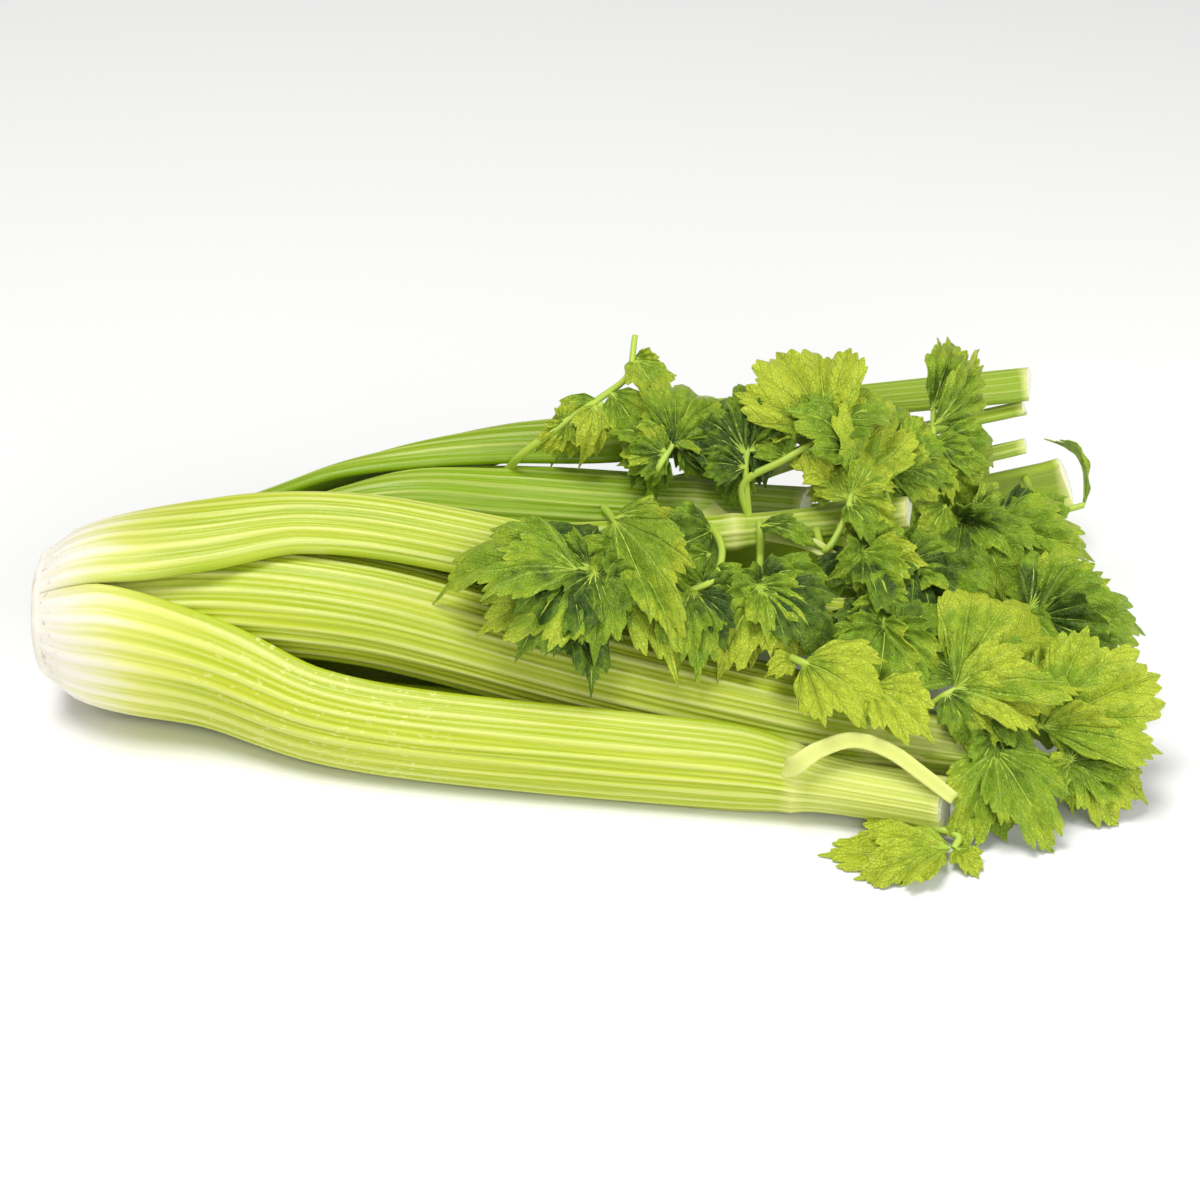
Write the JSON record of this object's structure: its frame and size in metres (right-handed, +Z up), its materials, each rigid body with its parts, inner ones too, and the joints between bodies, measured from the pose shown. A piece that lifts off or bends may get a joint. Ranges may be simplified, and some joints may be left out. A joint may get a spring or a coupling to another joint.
{
  "type": "head of celery",
  "caption": "Whole head of celery lying on its side, with ribbed stalks wrapped at the root and cut leafy tops.",
  "frame": {"origin": "middle of the bounding box in plan, on the surface the head lies on", "axes": "+X from the root cut to the leaves, +Y to the back of the head as seen in the picture, +Z up"},
  "size_m": [0.4018, 0.2326, 0.1218],
  "materials": {
    "crown": "pale cut root tissue",
    "stalk": "waxy fresh stalk",
    "leaf": "soft leaf with a slight gloss"
  },
  "bodies": {
    "root": {"crown": "crown", "stalk_01": "stalk", "stalk_02": "stalk", "stalk_03": "stalk", "stalk_04": "stalk", "stalk_05": "stalk", "stalk_06": "stalk", "stalk_07": "stalk", "stalk_08": "stalk", "stalk_09": "stalk", "stalk_10": "stalk", "stalk_11": "stalk", "stalk_12": "stalk", "leafy_stem_01": "leaf", "leafy_stem_02": "leaf", "leafy_stem_03": "leaf", "leafy_stem_04": "leaf", "leafy_stem_05": "leaf", "leafy_stem_06": "leaf", "leafy_stem_07": "leaf", "leafy_stem_08": "leaf", "leafy_stem_09": "leaf", "leafy_stem_10": "leaf", "leafy_stem_11": "leaf", "leafy_stem_12": "leaf", "leafy_stem_13": "leaf", "leafy_stem_14": "leaf", "leafy_stem_15": "leaf", "leafy_stem_16": "leaf", "leafy_stem_17": "leaf", "leafy_stem_18": "leaf", "leafy_stem_19": "leaf", "leafy_stem_20": "leaf", "leafy_stem_21": "leaf", "leafy_stem_22": "leaf", "leafy_stem_23": "leaf"}
  },
  "joints": []
}
